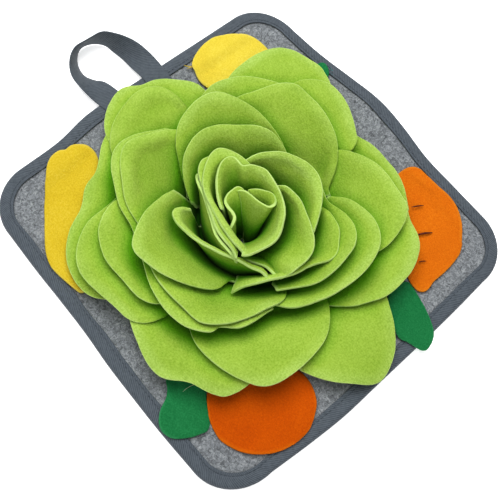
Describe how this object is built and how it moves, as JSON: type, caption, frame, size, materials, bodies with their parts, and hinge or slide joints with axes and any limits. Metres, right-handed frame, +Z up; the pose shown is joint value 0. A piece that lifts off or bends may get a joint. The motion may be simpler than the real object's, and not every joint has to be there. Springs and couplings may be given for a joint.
{
  "type": "snuffle mat",
  "caption": "Square felt mat with a bound edge, a hanging loop, fleece fruit and leaves, and a large rose of fleece petals that hides treats for a dog.",
  "frame": {"origin": "middle of the square mat, on the surface that it lies on", "axes": "X and Y along the mat's sides, +Z up from the felt to the rose"},
  "size_m": [0.3678, 0.3061, 0.0632],
  "materials": {
    "petal_fleece": "napped green polyester fleece",
    "grey_felt": "mottled grey needled felt",
    "slate_twill_tape": "slate twill-woven binding tape",
    "golden_fleece": "golden yellow fleece",
    "lemon_fleece": "bright yellow fleece",
    "carrot_fleece": "bright orange fleece",
    "orange_fleece": "deep orange fleece",
    "leaf_fleece": "dark green fleece"
  },
  "bodies": {
    "root": {"edge_binding": "slate_twill_tape", "felt_base": "grey_felt", "fruit_banana": "golden_fleece", "fruit_carrot": "carrot_fleece", "fruit_lemon": "lemon_fleece", "fruit_orange": "orange_fleece", "hanging_loop": "slate_twill_tape", "leaf_lower": "leaf_fleece", "leaf_right": "leaf_fleece", "leaf_upper": "leaf_fleece", "petal_bud_1": "petal_fleece", "petal_bud_2": "petal_fleece", "petal_bud_3": "petal_fleece", "petal_fifth_1": "petal_fleece", "petal_fifth_2": "petal_fleece", "petal_fifth_3": "petal_fleece", "petal_fourth_1": "petal_fleece", "petal_fourth_2": "petal_fleece", "petal_fourth_3": "petal_fleece", "petal_fourth_4": "petal_fleece", "petal_fourth_5": "petal_fleece", "petal_heart_1": "petal_fleece", "petal_heart_2": "petal_fleece", "petal_outer_1": "petal_fleece", "petal_outer_2": "petal_fleece", "petal_outer_3": "petal_fleece", "petal_outer_4": "petal_fleece", "petal_outer_5": "petal_fleece", "petal_outer_6": "petal_fleece", "petal_outer_7": "petal_fleece", "petal_second_1": "petal_fleece", "petal_second_2": "petal_fleece", "petal_second_3": "petal_fleece", "petal_second_4": "petal_fleece", "petal_sixth_1": "petal_fleece", "petal_sixth_2": "petal_fleece", "petal_sixth_3": "petal_fleece", "petal_sixth_4": "petal_fleece", "petal_sixth_5": "petal_fleece", "petal_third_1": "petal_fleece", "petal_third_2": "petal_fleece", "petal_third_3": "petal_fleece", "petal_third_4": "petal_fleece", "petal_third_5": "petal_fleece", "petal_third_6": "petal_fleece"}
  },
  "joints": []
}
